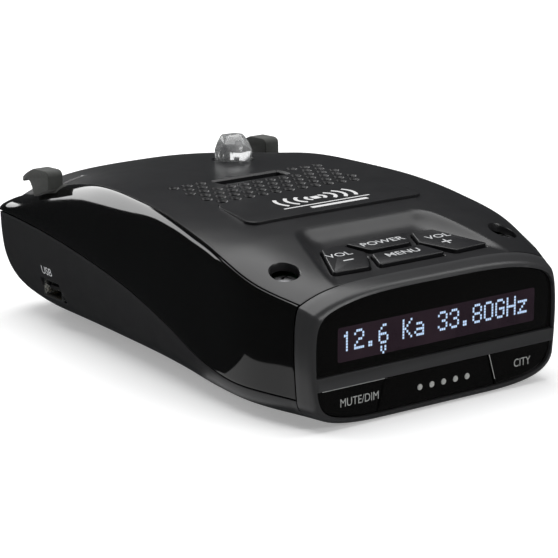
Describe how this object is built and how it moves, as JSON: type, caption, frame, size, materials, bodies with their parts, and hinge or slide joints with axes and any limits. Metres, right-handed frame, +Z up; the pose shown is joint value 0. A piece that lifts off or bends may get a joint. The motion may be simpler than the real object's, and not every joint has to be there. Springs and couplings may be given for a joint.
{
  "type": "radar detector",
  "caption": "Low wedge-shaped dashboard radar detector with a front text display, sprung keys on top and front, speaker grille, clear laser lens and rubber stops.",
  "frame": {"origin": "centre of the base, on the surface the detector stands on", "axes": "+Z up; +X to the right of a person facing the display; the display faces -Y and the horn antenna faces +Y"},
  "size_m": [0.074, 0.1188, 0.042],
  "materials": {
    "satin": "satin black moulded plastic",
    "gloss": "piano-black gloss plastic",
    "bezel": "dark grey satin moulded plastic",
    "window": "smoked gloss black acrylic",
    "key": "satin dark grey key plastic",
    "clear": "clear moulded acrylic lens",
    "rubber": "soft dark grey-green rubber",
    "board": "green solder-masked circuit board",
    "tin": "tinned steel sheet",
    "cast_zinc": "bare die-cast metal",
    "steel": "dark plated steel",
    "white_plastic": "translucent white light-guide plastic",
    "black_plastic": "black glass-filled plastic",
    "cone_paper": "dark speaker cone on a steel basket",
    "flex": "amber polyimide flat flex"
  },
  "bodies": {
    "housing": {"badge_plate": "satin", "bottom_cover": "satin", "bracket_socket": "black_plastic", "city_switch": "tin", "display_module": "black_plastic", "display_window": "window", "earphone_jack": "black_plastic", "front_bezel": "bezel", "front_pcb": "board", "front_screw_left": "steel", "front_screw_right": "steel", "horn_antenna": "cast_zinc", "keypad_pcb": "board", "laser_lens": "clear", "laser_pcb": "board", "laser_sensor": "black_plastic", "led_light_guide": "white_plastic", "led_panel": "window", "left_bumper": "rubber", "left_side_panel": "gloss", "main_pcb": "board", "menu_switch": "tin", "mute_dim_switch": "tin", "power_jack": "black_plastic", "power_switch": "tin", "rear_screw_left": "steel", "rear_screw_right": "steel", "rf_shield": "tin", "ribbon_cable": "flex", "right_bumper": "rubber", "right_side_panel": "gloss", "speaker": "cone_paper", "top_cover": "satin", "usb_port": "tin", "vol_down_switch": "tin", "vol_up_switch": "tin"},
    "vol_down_key": {"vol_down_button": "key", "vol_down_plunger": "black_plastic"},
    "power_key": {"power_button": "key", "power_plunger": "black_plastic"},
    "menu_key": {"menu_button": "key", "menu_plunger": "black_plastic"},
    "vol_up_key": {"vol_up_button": "key", "vol_up_plunger": "black_plastic"},
    "mute_dim_key": {"mute_dim_button": "window", "mute_dim_plunger": "black_plastic"},
    "city_key": {"city_button": "window", "city_plunger": "black_plastic"}
  },
  "joints": [
    {"name": "vol_down_press", "type": "slide", "parent": "housing", "child": "vol_down_key", "axis": [0, 0.1435, -0.9897], "range_m": [0, 0.0005], "stiffness_N_per_m": 800},
    {"name": "power_press", "type": "slide", "parent": "housing", "child": "power_key", "axis": [0, 0.1435, -0.9897], "range_m": [0, 0.0005], "stiffness_N_per_m": 800},
    {"name": "menu_press", "type": "slide", "parent": "housing", "child": "menu_key", "axis": [0, 0.1435, -0.9897], "range_m": [0, 0.0005], "stiffness_N_per_m": 800},
    {"name": "vol_up_press", "type": "slide", "parent": "housing", "child": "vol_up_key", "axis": [0, 0.1435, -0.9897], "range_m": [0, 0.0005], "stiffness_N_per_m": 800},
    {"name": "mute_dim_press", "type": "slide", "parent": "housing", "child": "mute_dim_key", "axis": [0, 1, 0], "range_m": [0, 0.0005], "stiffness_N_per_m": 800},
    {"name": "city_press", "type": "slide", "parent": "housing", "child": "city_key", "axis": [0, 1, 0], "range_m": [0, 0.0005], "stiffness_N_per_m": 800}
  ]
}
